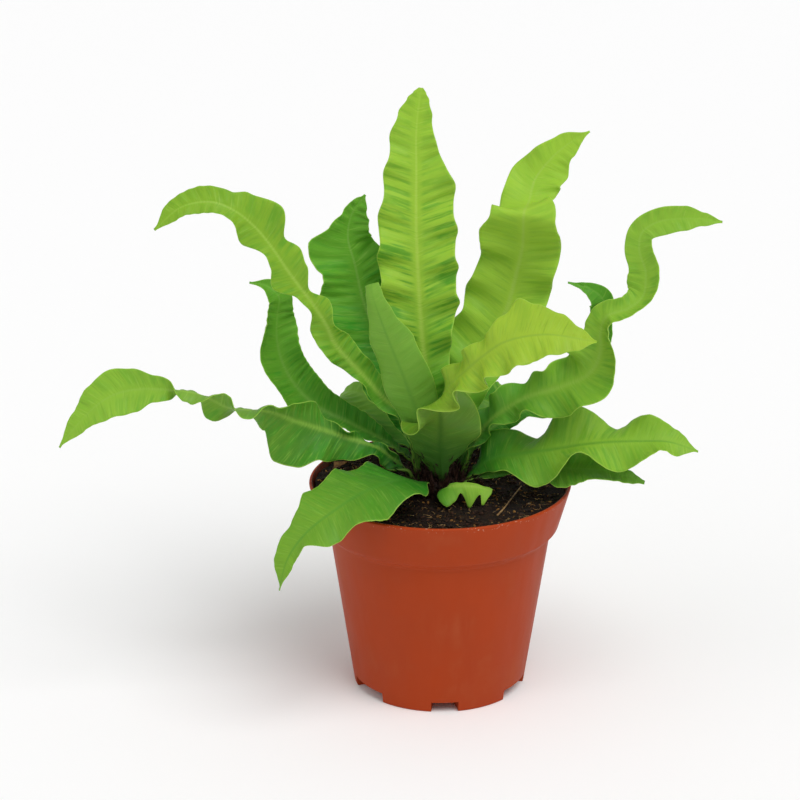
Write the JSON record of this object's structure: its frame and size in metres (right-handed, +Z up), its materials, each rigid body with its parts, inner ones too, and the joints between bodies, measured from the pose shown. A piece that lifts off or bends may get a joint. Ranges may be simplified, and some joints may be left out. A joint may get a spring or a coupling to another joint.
{
  "type": "potted fern",
  "caption": "Crisped bird's-nest fern with long wavy, arching and twisted fronds rising from a dark crown, in a tapered round plastic nursery pot filled with potting soil.",
  "frame": {"origin": "middle of the pot's flat floor, on the surface that the pot stands on", "axes": "+Z up along the pot's axis; +X to the right and -Y toward the viewer of the plant's front, so the long spread of the fronds lies along X"},
  "size_m": [0.2905, 0.1808, 0.2741],
  "materials": {
    "pot": "satin moulded polypropylene, terracotta colour",
    "soil": "rough damp peat potting mix",
    "crown": "dark fibrous scales",
    "frond": "semi-gloss living leaf"
  },
  "bodies": {
    "root": {"pot": "pot", "soil": "soil", "crown": "crown", "frond_tall": "frond", "frond_upright_left": "frond", "frond_upright_right": "frond", "frond_inner": "frond", "frond_arch_left": "frond", "frond_rear_left": "frond", "frond_long_left": "frond", "frond_low_left": "frond", "frond_front": "frond", "frond_far_right": "frond", "frond_rear_right": "frond", "frond_low_right": "frond", "frond_under_right": "frond", "frond_young_front": "frond", "frond_back_left": "frond", "frond_back": "frond", "frond_back_right": "frond"}
  },
  "joints": []
}
